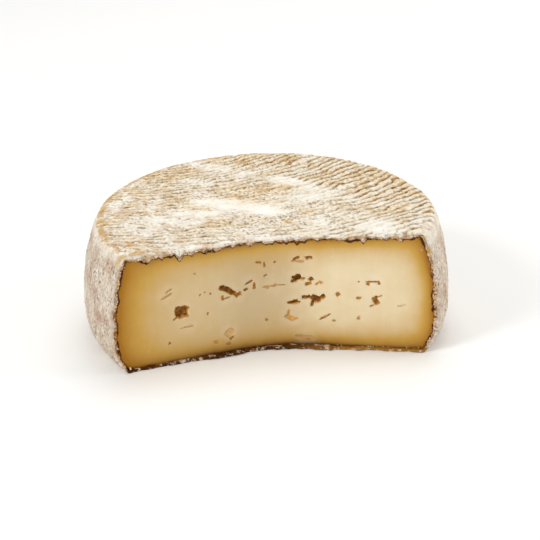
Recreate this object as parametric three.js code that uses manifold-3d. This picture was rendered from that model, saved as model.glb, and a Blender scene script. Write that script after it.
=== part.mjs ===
// A semi-hard cheese wheel with a natural rind, cut across in front of its middle.
// The wheel is one piece: rind and paste grew together, so it is one solid.
// Millimetres, +Z up. The origin is the wheel's axis on its flat underside. The cut faces -Y.
import * as THREE from "three";
import { mergeVertices } from "three/addons/utils/BufferGeometryUtils.js";
import Module from "manifold-3d";

// The wheel, before it is cut
const BULGE_RADIUS = 95; // the side at its widest
const BULGE_HEIGHT = 20; // where the side is widest
const BASE_TUCK = 7; // how far the flat underside's edge lies inside the widest radius
const BASE_CURVE = 2.7; // how late the side turns in towards the underside
const RIM_TUCK = 8; // how far the corner between side and top lies inside the widest radius
const RIM_HEIGHT = 63.5; // that corner's height, before it is rounded
const RIM_CURVE = 2.4; // how late the side turns in towards the rim
const RIM_ROUNDING = 3; // how far the rounded rim reaches along the side and along the top
const TOP_SINK = 3.5; // how much lower the top is at its centre than at its rim
const DISH_CURVE = 3; // how flat the middle of the sunken top is

const BASE_RADIUS = BULGE_RADIUS - BASE_TUCK;
const RIM_RADIUS = BULGE_RADIUS - RIM_TUCK;

// The cut: two flat faces that meet in a soft hollow fold
const FOLD_RIGHT = 6; // the fold's distance to the right of the axis
const FOLD_FRONT = 27; // the fold's distance in front of the axis
const FOLD_RADIUS = 80;
const LEFT_TURN = THREE.MathUtils.degToRad(18.2); // how far each face turns forward from the X axis
const RIGHT_TURN = THREE.MathUtils.degToRad(7.4);

// The larger openings in the paste, each a torn blind pocket
const OPENING_DEPTH = 3; // how far each reaches behind the cut
const RAGGEDNESS = 0.22; // how uneven its wall is, as a share of its size
const OPENINGS = [
  { along: -51, height: 28.5, width: 7.5, tall: 6.5, tilt: 0 },
  { along: -25.5, height: 35.5, width: 11, tall: 4.2, tilt: -35 },
  { along: 9.5, height: 39, width: 6.5, tall: 3.8, tilt: 10 },
  { along: 16.5, height: 37.5, width: 4.2, tall: 3.4, tilt: 30 },
  { along: 8, height: 25.5, width: 6, tall: 2.8, tilt: 5 },
  { along: 18.5, height: 27, width: 10.5, tall: 5.4, tilt: 12 },
  { along: 50, height: 27, width: 4, tall: 6, tilt: 20 },
  { along: 48, height: 36.5, width: 6.5, tall: 2.4, tilt: 0 },
];

// How finely the curves are divided
const TURN_STEPS = 96;
const SIDE_STEPS = 8;
const DISH_STEPS = 6;
const ROUNDING_STEPS = 4;
const FOLD_STEPS = 10;
const PAST_THE_EDGE = 20; // how far the cutter reaches past the wheel on every side

const topHeight = (radius) => RIM_HEIGHT - TOP_SINK * (1 - (radius / RIM_RADIUS) ** DISH_CURVE);

function sideRadius(height) {
  if (height < BULGE_HEIGHT) {
    const down = (BULGE_HEIGHT - height) / BULGE_HEIGHT;
    return BULGE_RADIUS - (BULGE_RADIUS - BASE_RADIUS) * down ** BASE_CURVE;
  }
  const up = (height - BULGE_HEIGHT) / (RIM_HEIGHT - BULGE_HEIGHT);
  return BULGE_RADIUS - (BULGE_RADIUS - RIM_RADIUS) * up ** RIM_CURVE;
}

// Half of the wheel's section, as (radius, height), from the middle of the underside to the middle of the top.
function wheelProfile() {
  const points = [new THREE.Vector2(0, 0)];
  for (let i = 0; i <= SIDE_STEPS; i++) {
    const height = (BULGE_HEIGHT * i) / SIDE_STEPS;
    points.push(new THREE.Vector2(sideRadius(height), height));
  }
  const roundingStart = RIM_HEIGHT - RIM_ROUNDING;
  for (let i = 1; i <= SIDE_STEPS; i++) {
    const height = BULGE_HEIGHT + ((roundingStart - BULGE_HEIGHT) * i) / SIDE_STEPS;
    points.push(new THREE.Vector2(sideRadius(height), height));
  }
  const roundingEnd = RIM_RADIUS - RIM_ROUNDING;
  const rounding = new THREE.QuadraticBezierCurve(
    new THREE.Vector2(sideRadius(roundingStart), roundingStart),
    new THREE.Vector2(RIM_RADIUS, RIM_HEIGHT),
    new THREE.Vector2(roundingEnd, topHeight(roundingEnd)),
  );
  points.push(...rounding.getPoints(ROUNDING_STEPS).slice(1));
  for (let i = DISH_STEPS - 1; i >= 0; i--) {
    const radius = (roundingEnd * i) / DISH_STEPS;
    points.push(new THREE.Vector2(radius, topHeight(radius)));
  }
  return points;
}

// Plan of the cut, in the frame's own X and Y.
const fold = new THREE.Vector2(FOLD_RIGHT, -FOLD_FRONT);
const leftOutward = new THREE.Vector2(-Math.sin(LEFT_TURN), Math.cos(LEFT_TURN));
const rightOutward = new THREE.Vector2(Math.sin(RIGHT_TURN), Math.cos(RIGHT_TURN));
const foldCentre = fold
  .clone()
  .addScaledVector(leftOutward.clone().add(rightOutward), -FOLD_RADIUS / (1 + leftOutward.dot(rightOutward)));
const halfBend = (FOLD_RADIUS * (LEFT_TURN + RIGHT_TURN)) / 2;

// The point of the cut at a distance along it from the middle of the fold, and the way the cut runs there.
function cutAt(along) {
  const turn = THREE.MathUtils.clamp(along, -halfBend, halfBend) / FOLD_RADIUS;
  const bearing = (LEFT_TURN - RIGHT_TURN) / 2 - turn;
  const onward = new THREE.Vector2(Math.cos(bearing), Math.sin(bearing));
  const point = new THREE.Vector2(-onward.y, onward.x).multiplyScalar(FOLD_RADIUS).add(foldCentre);
  const straight = along - turn * FOLD_RADIUS;
  return { point: point.addScaledVector(onward, straight), bearing };
}

// The whole space in front of the cut.
function cutterGeometry() {
  const reach = 2 * BULGE_RADIUS + PAST_THE_EDGE;
  const outline = [cutAt(-reach).point];
  for (let i = 0; i <= FOLD_STEPS; i++) {
    outline.push(cutAt(halfBend * ((2 * i) / FOLD_STEPS - 1)).point);
  }
  outline.push(cutAt(reach).point);
  outline.push(new THREE.Vector2(reach, -reach), new THREE.Vector2(-reach, -reach));
  const geometry = new THREE.ExtrudeGeometry(new THREE.Shape(outline), {
    depth: RIM_HEIGHT + 2 * PAST_THE_EDGE,
    bevelEnabled: false,
  });
  return geometry.translate(0, 0, -PAST_THE_EDGE);
}

// A torn pocket, lying across the cut. Its wall is uneven by a rule, so that every build is the same.
function openingGeometry({ along, height, width, tall, tilt }) {
  const geometry = new THREE.IcosahedronGeometry(1, 1);
  const position = geometry.getAttribute("position");
  const corner = new THREE.Vector3();
  for (let i = 0; i < position.count; i++) {
    corner.fromBufferAttribute(position, i);
    const swell = Math.sin(5 * corner.x + along) * Math.cos(4 * corner.z + height);
    corner.multiplyScalar(1 + RAGGEDNESS * swell);
    position.setXYZ(i, corner.x, corner.y, corner.z);
  }
  const { point, bearing } = cutAt(along);
  return geometry
    .scale(width / 2, OPENING_DEPTH, tall / 2)
    .rotateY(-THREE.MathUtils.degToRad(tilt))
    .rotateZ(bearing)
    .translate(point.x, point.y, height);
}

const wasm = await Module();
wasm.setup();

function toSolid(geometry) {
  const bare = geometry.index ? geometry.toNonIndexed() : geometry.clone();
  bare.deleteAttribute("normal");
  bare.deleteAttribute("uv");
  const merged = mergeVertices(bare, 1e-3);
  const mesh = new wasm.Mesh({
    numProp: 3,
    vertProperties: merged.attributes.position.array,
    triVerts: new Uint32Array(merged.index.array),
  });
  return new wasm.Manifold(mesh);
}

function toGeometry(solid) {
  const mesh = solid.getMesh();
  const geometry = new THREE.BufferGeometry();
  geometry.setAttribute("position", new THREE.BufferAttribute(mesh.vertProperties, 3));
  geometry.setIndex(new THREE.BufferAttribute(mesh.triVerts, 1));
  geometry.computeVertexNormals();
  return geometry;
}

function cheeseGeometry() {
  const wheel = new THREE.LatheGeometry(wheelProfile(), TURN_STEPS).rotateX(Math.PI / 2);
  let solid = toSolid(wheel).subtract(toSolid(cutterGeometry()));
  for (const opening of OPENINGS) {
    solid = solid.subtract(toSolid(openingGeometry(opening)));
  }
  return toGeometry(solid);
}

const cheese = new THREE.Mesh(
  cheeseGeometry(),
  new THREE.MeshStandardMaterial({ color: 0xe9dfc8, roughness: 0.85, metalness: 0 }),
);
cheese.name = "cheese_wheel";

const part = new THREE.Group();
part.add(cheese);

export default part;
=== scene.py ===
import math
from functools import partial

import bmesh
import bpy
import numpy as np
from mathutils import Matrix, Vector
from mathutils.geometry import delaunay_2d_cdt


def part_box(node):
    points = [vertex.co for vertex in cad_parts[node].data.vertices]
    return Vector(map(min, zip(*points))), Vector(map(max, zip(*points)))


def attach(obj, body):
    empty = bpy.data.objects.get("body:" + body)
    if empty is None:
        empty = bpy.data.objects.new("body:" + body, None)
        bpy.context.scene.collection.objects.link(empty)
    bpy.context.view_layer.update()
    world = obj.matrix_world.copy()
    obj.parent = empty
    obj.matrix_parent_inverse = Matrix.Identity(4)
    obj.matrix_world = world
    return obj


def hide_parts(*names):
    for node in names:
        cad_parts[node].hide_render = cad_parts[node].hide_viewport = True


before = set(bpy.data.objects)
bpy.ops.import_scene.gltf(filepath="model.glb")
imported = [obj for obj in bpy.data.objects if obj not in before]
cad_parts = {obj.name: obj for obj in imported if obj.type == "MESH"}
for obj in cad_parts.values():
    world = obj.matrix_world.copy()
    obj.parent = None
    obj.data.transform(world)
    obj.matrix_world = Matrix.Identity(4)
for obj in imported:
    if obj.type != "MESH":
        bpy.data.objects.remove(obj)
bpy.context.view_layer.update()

bl_info = {
    "name": "Cut Cheese Wheel",
    "version": (1, 0, 0),
    "blender": (4, 5, 0),
    "location": "View3D > Sidebar > Cheese",
    "description": "Builds a cut wheel of semi-hard cheese with a cloth-marked natural rind",
    "category": "Add Mesh",
}

MM = 0.001
NODE = "cheese_wheel"
BODY = "root"
WHEEL_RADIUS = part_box(NODE)[1].x

# How finely the rind and the paste are divided. The cut's edge is the finest, as the rind is torn there.
SIDE_ROWS = 70
RIM_ROWS = 8
SIDE_COLUMNS = 380
TOP_SPACING = 0.68 * MM
EDGE_SPACING = 0.42 * MM
HIDDEN_COLUMNS = 60
HIDDEN_SPACING = 6 * MM
FACE_SPACING = 1.1 * MM

# Edges that are shorter than this are merged after the openings are taken out
HAIR = 0.0001 * MM

# The rind's edge along the cut, as it goes from the skin over the torn lip to its tip:
# share of the lip's hang, share of its stand-off, and how torn it looks.
LIP_ROWS = [
    (0.02, 0.45, 0.15),
    (0.12, 0.80, 0.18),
    (0.30, 1.00, 0.24),
    (0.50, 1.00, 0.34),
    (0.70, 0.92, 0.50),
    (0.86, 0.80, 0.65),
    (0.97, 0.60, 0.80),
    (1.00, 0.35, 0.90),
]

# The ledge that follows, on the paste: share of its width, stand-off in millimetres
LEDGE_ROWS = [(0.2, 0.16), (1.0, 0.10), (0.9, -0.15)]

# The skin begins to look torn this far behind the cut, and this much at the cut
TORN_REACH = 3 * MM
TORN_START = 0.15

# Teeth of torn rind that hang over the cut: distance from the fold, length, width, in millimetres
TEETH = [
    (-68.0, 1.4, 5.0), (-60.0, 0.9, 3.0), (-51.0, 3.3, 5.6), (-44.5, 1.6, 3.4),
    (-38.0, 1.0, 3.0), (-31.0, 1.8, 5.4), (-23.0, 1.0, 3.2), (-14.5, 2.7, 4.8),
    (-6.0, 1.3, 4.0), (4.5, 1.5, 3.6), (9.5, 1.6, 2.6), (20.0, 1.3, 3.4),
    (30.5, 1.1, 3.6), (43.0, 2.8, 4.4), (54.0, 0.8, 3.0), (62.0, 1.3, 4.0),
]

# Openings in the paste, each made of torn lumps:
# distance from the fold, height, width, tallness, lean in degrees, depth behind the cut, in millimetres
LUMPS = [
    (-51.2, 28.6, 6.4, 6.2, 4, 3.2), (-48.3, 30.4, 2.6, 1.8, 12, 2.0),
    (-48.6, 26.2, 3.0, 1.5, -24, 1.6), (-54.2, 25.7, 2.8, 1.1, 30, 1.3),
    (-28.4, 37.9, 4.8, 3.0, -24, 3.0), (-26.2, 36.4, 7.6, 2.9, -36, 3.0),
    (-23.4, 34.4, 4.6, 2.4, -40, 2.6), (-20.9, 33.2, 3.4, 2.4, 20, 2.2),
    (-29.3, 32.7, 1.5, 2.8, 10, 1.4), (-26.9, 32.3, 3.2, 0.9, 12, 1.0),
    (-15.2, 39.1, 4.2, 1.2, 22, 1.5), (-12.5, 37.0, 1.4, 3.6, 0, 1.3),
    (-17.0, 35.4, 2.0, 1.8, 20, 1.8), (9.2, 50.3, 3.4, 1.6, 24, 2.2),
    (10.0, 48.8, 5.2, 1.2, -4, 0.8), (15.7, 50.7, 3.6, 1.5, 4, 2.0),
    (9.4, 39.4, 4.6, 3.4, 26, 3.2), (11.6, 39.1, 3.6, 1.3, 6, 2.0),
    (7.0, 37.6, 1.9, 1.7, 10, 2.2), (16.6, 38.6, 2.6, 2.4, 52, 2.0),
    (15.2, 36.3, 3.4, 2.0, 16, 1.6), (21.6, 37.0, 2.4, 1.2, -22, 1.0),
    (20.0, 36.4, 2.2, 0.9, 40, 0.8), (14.0, 28.7, 4.8, 2.2, 8, 2.6),
    (18.8, 27.6, 5.0, 3.6, -30, 3.2), (21.8, 28.9, 4.2, 2.6, 24, 2.8),
    (17.0, 25.2, 1.8, 3.2, -14, 2.2), (7.9, 25.7, 6.4, 2.0, 2, 2.4),
    (8.4, 26.7, 2.6, 1.6, 12, 2.0), (30.2, 30.4, 2.0, 2.3, 20, 1.6),
    (40.8, 28.4, 2.5, 1.2, 8, 1.4), (49.4, 27.2, 3.0, 4.6, 24, 2.2),
    (50.9, 29.4, 3.4, 0.9, 20, 1.0), (47.6, 24.4, 2.2, 0.9, 36, 1.0),
    (47.9, 37.4, 6.6, 1.0, 2, 1.5), (45.4, 36.3, 1.8, 2.0, -16, 1.5),
    (51.0, 36.5, 1.3, 1.6, 0, 1.2), (5.4, 17.2, 4.6, 2.2, -28, 1.1),
    (5.0, 19.8, 1.3, 3.6, 0, 1.1), (7.8, 16.2, 3.6, 1.4, 14, 1.0),
    (23.4, 17.6, 6.0, 1.1, 30, 1.3), (28.2, 15.6, 1.4, 1.2, 0, 1.0),
    (-9.8, 49.4, 2.8, 1.3, -8, 1.2), (-7.1, 47.8, 1.0, 2.6, 0, 1.0),
    (-58.6, 38.6, 5.2, 1.1, 26, 0.7), (-57.2, 41.6, 3.4, 0.8, 30, 0.6),
    (-2.4, 35.6, 9.6, 0.7, 3, 0.6), (-5.6, 35.2, 1.8, 1.6, 0, 0.9),
    (-1.6, 35.9, 1.6, 1.3, 0, 0.9), (-48.6, 19.9, 6.0, 0.7, 2, 0.6),
    (-26.2, 12.6, 4.4, 3.4, 40, 0.7), (-25.2, 9.6, 2.2, 1.5, 30, 1.4),
    (-26.8, 6.4, 1.8, 1.2, 0, 1.0), (-33.6, 8.6, 2.4, 1.8, 0, 0.6),
    (13.0, 6.2, 8.0, 1.3, -6, 0.6), (16.0, 5.0, 3.6, 0.9, 8, 0.7),
    (-6.5, 16.7, 1.5, 1.1, -20, 1.0), (-58.0, 12.3, 1.2, 1.1, 0, 0.9),
    (-37.5, 25.2, 0.9, 1.2, 0, 0.8), (-41.2, 36.4, 0.9, 0.9, 0, 0.7),
    (-38.6, 37.4, 0.7, 0.7, 0, 0.6), (-35.6, 36.2, 0.9, 0.8, 0, 0.7),
    (-6.6, 41.8, 1.5, 0.8, 14, 0.8), (-1.7, 48.8, 1.1, 0.9, 0, 0.8),
    (40.6, 17.4, 1.6, 1.6, 0, 1.1), (40.8, 37.6, 0.9, 0.8, 0, 0.7),
    (62.8, 24.6, 3.6, 0.9, 6, 0.5), (-43.6, 48.6, 0.9, 0.8, 0, 0.6),
]

BLOCKINESS = 0.5  # how square the lumps are that are torn out of the paste
RAGGEDNESS = 1.8 * MM  # how far their surface strays
SMOOTH_DEPTH = 2.4 * MM  # openings that are shallower than this are smoother
HIGHLIGHT_WIDTH = 3.0  # only openings wider than this, in millimetres, have a painted highlight round them


def colour(hexadecimal):
    """A scene-linear colour from the usual six hexadecimal digits."""
    channels = [int(hexadecimal[i : i + 2], 16) / 255 for i in (0, 2, 4)]
    return tuple(c / 12.92 if c <= 0.04045 else ((c + 0.055) / 1.055) ** 2.4 for c in channels)


def number(name, description, default, **kind):
    return bpy.props.FloatProperty(name=name, description=description, default=default, **kind)


def length(name, description, default):
    return number(name, description, default, unit="LENGTH", precision=5)


def turning(name, description, degrees):
    return number(name, description, math.radians(degrees), subtype="ANGLE")


def paint(name, description, hexadecimal):
    settings = {"default": colour(hexadecimal), "subtype": "COLOR", "min": 0, "max": 1}
    return bpy.props.FloatVectorProperty(name=name, description=description, **settings)


def whole_number(name, description, default):
    return bpy.props.IntProperty(name=name, description=description, default=default)


# Bloom on the top, chalk, dust and sores on the side, and flecks in the paste
BLOOM = colour("fdfaf2")
CHALK = colour("f0e7da")
DUST = colour("9c8b76")
SORE = colour("9a6450")
FLECK = colour("f6ead0")


class CheeseSizes(bpy.types.PropertyGroup):
    bulge_radius: length("Bulge radius", "The side at its widest", WHEEL_RADIUS)
    bulge_height: length("Bulge height", "Where the side is widest", 20 * MM)
    base_tuck: length("Base tuck", "How far the underside's edge lies inside the bulge", 7 * MM)
    base_curve: number("Base curve", "How late the side turns in below", 2.7)
    rim_height: length("Rim height", "Height of the corner between side and top", 63.5 * MM)
    rim_tuck: length("Rim tuck", "How far that corner lies inside the bulge", 8 * MM)
    rim_curve: number("Rim curve", "How late the side turns in above", 2.4)
    rim_rounding: length("Rim rounding", "How far the rounded rim reaches", 3 * MM)
    top_sink: length("Top sink", "How much lower the middle of the top is", 1.2 * MM)
    dish_curve: number("Dish curve", "How flat the middle of the top is", 3)
    fold_right: length("Fold right", "The fold's distance to the right of the axis", 6 * MM)
    fold_front: length("Fold front", "The fold's distance in front of the axis", 27 * MM)
    fold_radius: length("Fold radius", "Radius of the hollow fold", 80 * MM)
    left_turn: turning("Left turn", "How far the left face turns forward", 18.2)
    right_turn: turning("Right turn", "How far the right face turns forward", 7.4)
    rind_thickness: length("Rind thickness", "Thickness of the rind", 1.2 * MM)
    swell: length("Swell", "How much higher the wheel stands at the right end of the cut", 3 * MM)
    swell_reach: length("Swell reach", "How far the swell reaches from that end", 72 * MM)


class RindRelief(bpy.types.PropertyGroup):
    ridge_spacing: length("Ridge spacing", "Distance between the cloth's ridges", 3.6 * MM)
    ridge_height: length("Ridge height", "Height of the cloth's ridges", 1.15 * MM)
    crease_height: length("Crease height", "Height of the creases in the cloth", 0.9 * MM)
    lump_height: length("Lump height", "Height of the broad lumps", 0.7 * MM)
    grain_height: length("Grain height", "Height of the mould's grain", 0.3 * MM)
    tuft_height: length("Tuft height", "Height of the fluff on the torn lip", 0.8 * MM)


class CheeseCrumbs(bpy.types.PropertyGroup):
    count: whole_number("Count", "How many crumbs lie along the cut", 300)
    size: length("Size", "Half the length of the largest crumb", 1.1 * MM)
    spread: length("Spread", "How far crumbs stray from the line", 0.8 * MM)
    inset: length("Inset", "How far the line lies inside the cut's edge", 1.5 * MM)
    stand_off: length("Stand-off", "How far the line stands in front of the cut", 0.3 * MM)
    seed: whole_number("Seed", "Picks another scatter", 5)


class CheeseColours(bpy.types.PropertyGroup):
    mould: paint("Mould", "Dry white mould on the top", "f6efdf")
    straw: paint("Straw", "Thinly covered rind", "f3e1bf")
    clouded: paint("Clouded mould", "Duller patches in the mould on the top", "d8bfa3")
    furrow: paint("Furrow", "Bottom of the cloth's furrows", "b18a54")
    shadow: paint("Shadow", "Furrows where the mould is dense", "a08a68")
    groove: paint("Groove", "Darkest line of a furrow", "6c4e26")
    bare: paint("Bare rind", "Rubbed rind along the rim", "c39a50")
    dot: paint("Dots", "Small dark dots in the mould", "80684a")
    side: paint("Side", "Greyish mould on the side", "d3c5b1")
    blush: paint("Blush", "Pinkish patches on the side", "b8917a")
    torn: paint("Torn rind", "Rind where it is torn", "efdfc6")
    frayed: paint("Frayed rind", "Pinkish fringe of the torn rind", "cfa88c")
    ochre_dry: paint("Dried paste", "Golden brown underside near the right end", "b58238")
    # Also painted shade: the dark line under the rind's lip and the contact shade at the paste's underside
    crust: paint("Crust", "Dried brown crust between rind and paste", "4a2608")
    paste: paint("Paste", "Middle of the paste", "eddcb8")
    # Painted shade: a darker copy of the paste for the left face of the cut
    paste_left: paint("Paste left", "Middle of the paste left of the fold", "dcc59b")
    ochre: paint("Ochre", "Ripened paste under the rind", "ad740a")
    gold: paint("Gold", "Paste that is half ripened", "cda24c")
    # Also laid on as painted shade: in the fold's hollow, at the underside round the fold and under the
    # rind's lip
    toffee: paint("Toffee", "Dried paste at the underside", "7a4a16")
    # A painted highlight round the wider openings
    halo: paint("Halo", "Paler paste round the openings", "f3e6cd")
    opening: paint("Openings", "Walls of the openings near the cut", "deaa52")
    # Painted shade deep inside the openings
    hollow: paint("Hollow", "Inside the deepest openings", "8f580c")


# --- Shape


def distance(plan):
    """How far the points lie from the origin."""
    return np.linalg.norm(plan, axis=-1)


class WheelShape:
    """The wheel's outline and the line of its cut, in metres."""

    def __init__(self, sizes):
        self.sizes = sizes
        left, right = sizes.left_turn, sizes.right_turn
        self.left_outward = np.array([-math.sin(left), math.cos(left)])
        self.right_outward = np.array([math.sin(right), math.cos(right)])
        self.fold_radius = sizes.fold_radius
        both = self.left_outward + self.right_outward
        reach = sizes.fold_radius / (1 + self.left_outward @ self.right_outward)
        self.fold_centre = np.array([sizes.fold_right, -sizes.fold_front]) - both * reach
        self.half_bend = sizes.fold_radius * (left + right) / 2
        self.middle_bearing = (left - right) / 2
        self.rim_radius = sizes.bulge_radius - sizes.rim_tuck
        self.swell_centre = np.array([85, -30]) * MM

    def side_radius(self, height):
        s = self.sizes
        down = np.clip(1 - height / s.bulge_height, 0, 1)
        up = np.clip((height - s.bulge_height) / (s.rim_height - s.bulge_height), 0, 1)
        return s.bulge_radius - s.base_tuck * down**s.base_curve - s.rim_tuck * up**s.rim_curve

    def top_height(self, radius):
        s = self.sizes
        return s.rim_height - s.top_sink * (1 - (radius / self.rim_radius) ** s.dish_curve)

    def stretch(self, plan):
        """How much taller than even the wheel stands over points in plan."""
        near = 1 - distance(plan - self.swell_centre) / self.sizes.swell_reach
        near = np.clip(near, 0, 1)
        return 1 + near * near * (3 - 2 * near) * self.sizes.swell / self.sizes.rim_height

    def swollen(self, points):
        """The points of an even wheel, moved up where it has swollen."""
        return np.column_stack([points[:, :2], points[:, 2] * self.stretch(points[:, :2])])

    def cut_at(self, along):
        """Points on the cut's line in plan, and the way backwards from the cut there."""
        along = np.asarray(along, float)
        turn = np.clip(along, -self.half_bend, self.half_bend) / self.fold_radius
        bearing = self.middle_bearing - turn
        onward = np.stack([np.cos(bearing), np.sin(bearing)], -1)
        backward = np.stack([-np.sin(bearing), np.cos(bearing)], -1)
        straight = (along - turn * self.fold_radius)[..., None]
        return self.fold_centre + backward * self.fold_radius + onward * straight, backward

    def cut_end(self, radius, way, back):
        """How far along the cut's line, moved back, it meets a circle, to the right if way is 1."""
        start, backward = self.cut_at(way * self.half_bend)
        start = start + backward * back
        onward = way * np.array([backward[1], -backward[0]])
        lead = start @ onward
        return way * (self.half_bend - lead + np.sqrt(lead**2 - start @ start + radius**2))

    def behind_cut(self, plan):
        """How far behind the cut points in plan lie."""
        offset = plan - self.fold_centre
        bearing = np.arctan2(offset[..., 0], offset[..., 1])
        left = offset @ self.left_outward
        right = offset @ self.right_outward
        folded = distance(offset)
        reach = np.where(bearing < -self.sizes.left_turn, left, folded)
        return np.where(bearing > self.sizes.right_turn, right, reach) - self.fold_radius

    def inside_face(self, along, height, inset):
        """Points of the cut's outline, moved in from it over the face."""
        plan, _ = self.cut_at(along)
        top = self.top_height(distance(plan))
        height = np.clip(height, inset, top - inset)
        radius = self.side_radius(height)
        right = self.cut_end(radius, 1, 0) - inset
        left = self.cut_end(radius, -1, 0) + inset
        return np.clip(along, left, right), height

    def on_face(self, along, height, forward):
        """Points in space, standing forward of the cut's face by one distance or by one for each."""
        plan, backward = self.cut_at(along)
        plan = plan - backward * np.asarray(forward)[..., None]
        return np.concatenate([plan, np.asarray(height)[..., None]], -1)


def honeycomb(low, high, spacing):
    """Evenly spaced flat points in rows that are set half a step apart."""
    rows = np.arange(low[1], high[1], spacing * math.sqrt(3) / 2)
    columns = np.arange(low[0], high[0], spacing)
    x, y = np.meshgrid(columns, rows)
    x[1::2] += spacing / 2
    return np.stack([x.ravel(), y.ravel()], -1)


def fill_loop(loop, inner):
    """Triangles over a closed flat loop and the points inside it, counter-clockwise."""
    points = np.vstack([loop, inner])
    vectors = [Vector(p) for p in points / MM]
    triangles_inside = 1
    filled = delaunay_2d_cdt(vectors, [], [list(range(len(loop)))], triangles_inside, 1e-6)
    source = [ids[0] for ids in filled[3]]
    faces = np.array([[source[v] for v in face] for face in filled[2]])
    a, b, c = (points[faces[:, i]] for i in range(3))
    doubled_area = np.cross(b - a, c - a)
    faces[doubled_area < 0] = faces[doubled_area < 0][:, ::-1]
    return faces


def new_mesh(name, points, edges=(), faces=()):
    mesh = bpy.data.meshes.new(name)
    mesh.from_pydata(points.tolist(), edges, faces)
    return mesh


def mark_points(mesh, name, values):
    """Keeps a number, or three, on each point of the mesh."""
    kind, field = ("FLOAT", "value") if values.ndim == 1 else ("FLOAT_VECTOR", "vector")
    layer = mesh.attributes.new(name, kind, "POINT")
    layer.data.foreach_set(field, values.astype(np.float32).ravel())


class Shell:
    """Points and faces that are joined by number as they are added."""

    def __init__(self):
        self.points = []
        self.faces = []
        self.marks = []
        self.count = 0

    def add(self, points, mark):
        first = self.count
        self.points.append(points)
        self.marks.append(np.broadcast_to(mark, (len(points), 2)))
        self.count += len(points)
        return np.arange(first, self.count)

    def strip(self, lower, upper, closed=False):
        """Quads between two rows of numbers. They face left of the way from lower to upper, seen along it."""
        quads = np.stack([lower, np.roll(lower, -1), np.roll(upper, -1), upper], -1)
        self.faces.extend((quads if closed else quads[:-1]).tolist())

    def to_mesh(self, name, shape, mark_names):
        mesh = new_mesh(name, shape.swollen(np.vstack(self.points)), faces=self.faces)
        for mark_name, values in zip(mark_names, np.vstack(self.marks).T):
            mark_points(mesh, mark_name, values)
        mesh.shade_smooth()
        return mesh


def add_skin(shell, shape, inset, back, columns, spacing, flip=False):
    """The wheel's side, top and underside, open at the cut. Returns the numbers of the edge at the cut,
    clockwise over the face from its top left, with each point's distance along the cut and its height."""
    s = shape.sizes
    rounding_start = s.rim_height - s.rim_rounding
    rounding_end = shape.rim_radius - s.rim_rounding
    height = np.linspace(0, rounding_start, SIDE_ROWS + 1)
    radius = shape.side_radius(height)
    flat_height = shape.top_height(rounding_end)
    t = np.linspace(0, 1, RIM_ROWS + 1)[1:]

    def rounded(start, corner, end):
        return (1 - t) ** 2 * start + 2 * t * (1 - t) * corner + t**2 * end

    radius = np.concatenate([radius, rounded(radius[-1], shape.rim_radius, rounding_end)]) - inset
    height = np.concatenate([height, rounded(rounding_start, s.rim_height, flat_height)])
    height = inset + height * (1 - 2 * inset / flat_height)

    ends = []
    for way in (1, -1):
        along = shape.cut_end(radius, way, back)
        plan, backward = shape.cut_at(along)
        plan = plan + backward * back
        ends.append((along, np.arctan2(plan[:, 1], plan[:, 0]) % math.tau))
    (right_along, right_angle), (left_along, left_angle) = ends
    right_angle = right_angle - math.tau
    share = np.linspace(0, 1, columns + 1)
    angle = right_angle[:, None] + (left_angle - right_angle)[:, None] * share
    flat = np.stack([np.cos(angle), np.sin(angle)], -1) * radius[:, None, None]
    side = np.dstack([flat, angle * 0 + height[:, None]])
    top_share = np.concatenate([np.zeros(SIDE_ROWS + 1), t])
    rows = [shell.add(points, (share_up, 0)) for points, share_up in zip(side, top_share)]
    for lower, upper in zip(rows, rows[1:]):
        shell.strip(*((upper, lower) if flip else (lower, upper)))

    def cap(row, is_top, gap):
        outer = radius[row] + inset
        cut_steps = round((shape.cut_end(outer, 1, 0) - shape.cut_end(outer, -1, 0)) / EDGE_SPACING)
        along = np.linspace(left_along[row], right_along[row], cut_steps + 1)[1:-1]
        plan, backward = shape.cut_at(along)
        plan = plan + backward * back
        loop = np.vstack([side[row][:, :2], plan])
        inner = honeycomb(np.full(2, -radius[row]), np.full(2, radius[row]), gap)
        clear = 0.6 * gap
        inner = inner[distance(inner) < radius[row] - clear]
        inner = inner[shape.behind_cut(inner) > back + clear]
        flat = np.vstack([plan, inner])
        rise = shape.top_height(distance(flat)) - inset if is_top else np.full(len(flat), inset)
        near_cut = np.clip(1 - (shape.behind_cut(flat) - back) / TORN_REACH, 0, 1)
        marks = np.column_stack([np.full(len(flat), float(is_top)), near_cut * TORN_START])
        numbers = shell.add(np.column_stack([flat, rise]), marks)
        numbers = np.concatenate([rows[row], numbers])
        faces = numbers[fill_loop(loop, inner)]
        shell.faces.extend((faces if is_top != flip else faces[:, ::-1]).tolist())
        cut = numbers[len(rows[row]) : len(loop)]
        return cut, along, rise[: len(along)]

    top_cut, top_along, top_rise = cap(-1, True, spacing)
    base_cut, base_along, base_rise = cap(0, False, HIDDEN_SPACING)
    right_rows = [r[0] for r in rows]
    left_rows = [r[-1] for r in rows]

    def round_cut(left, top, right, base):
        return np.concatenate([left[-1:], top, right[::-1], base[::-1], left[:-1]])

    numbers = round_cut(left_rows, top_cut, right_rows, base_cut)
    along = round_cut(left_along, top_along, right_along, base_along)
    return numbers, along, round_cut(height, top_rise, height, base_rise)


def unevenness(run, total, step, draw):
    """Smooth random values from -1 to 1 along a closed line, about one step apart."""
    knots = max(4, round(total / step))
    values = draw.uniform(-1, 1, knots)
    place = run / total * knots
    low = np.floor(place).astype(int)
    ease = place - low
    ease = ease * ease * (3 - 2 * ease)
    return values[low % knots] * (1 - ease) + values[(low + 1) % knots] * ease


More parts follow.
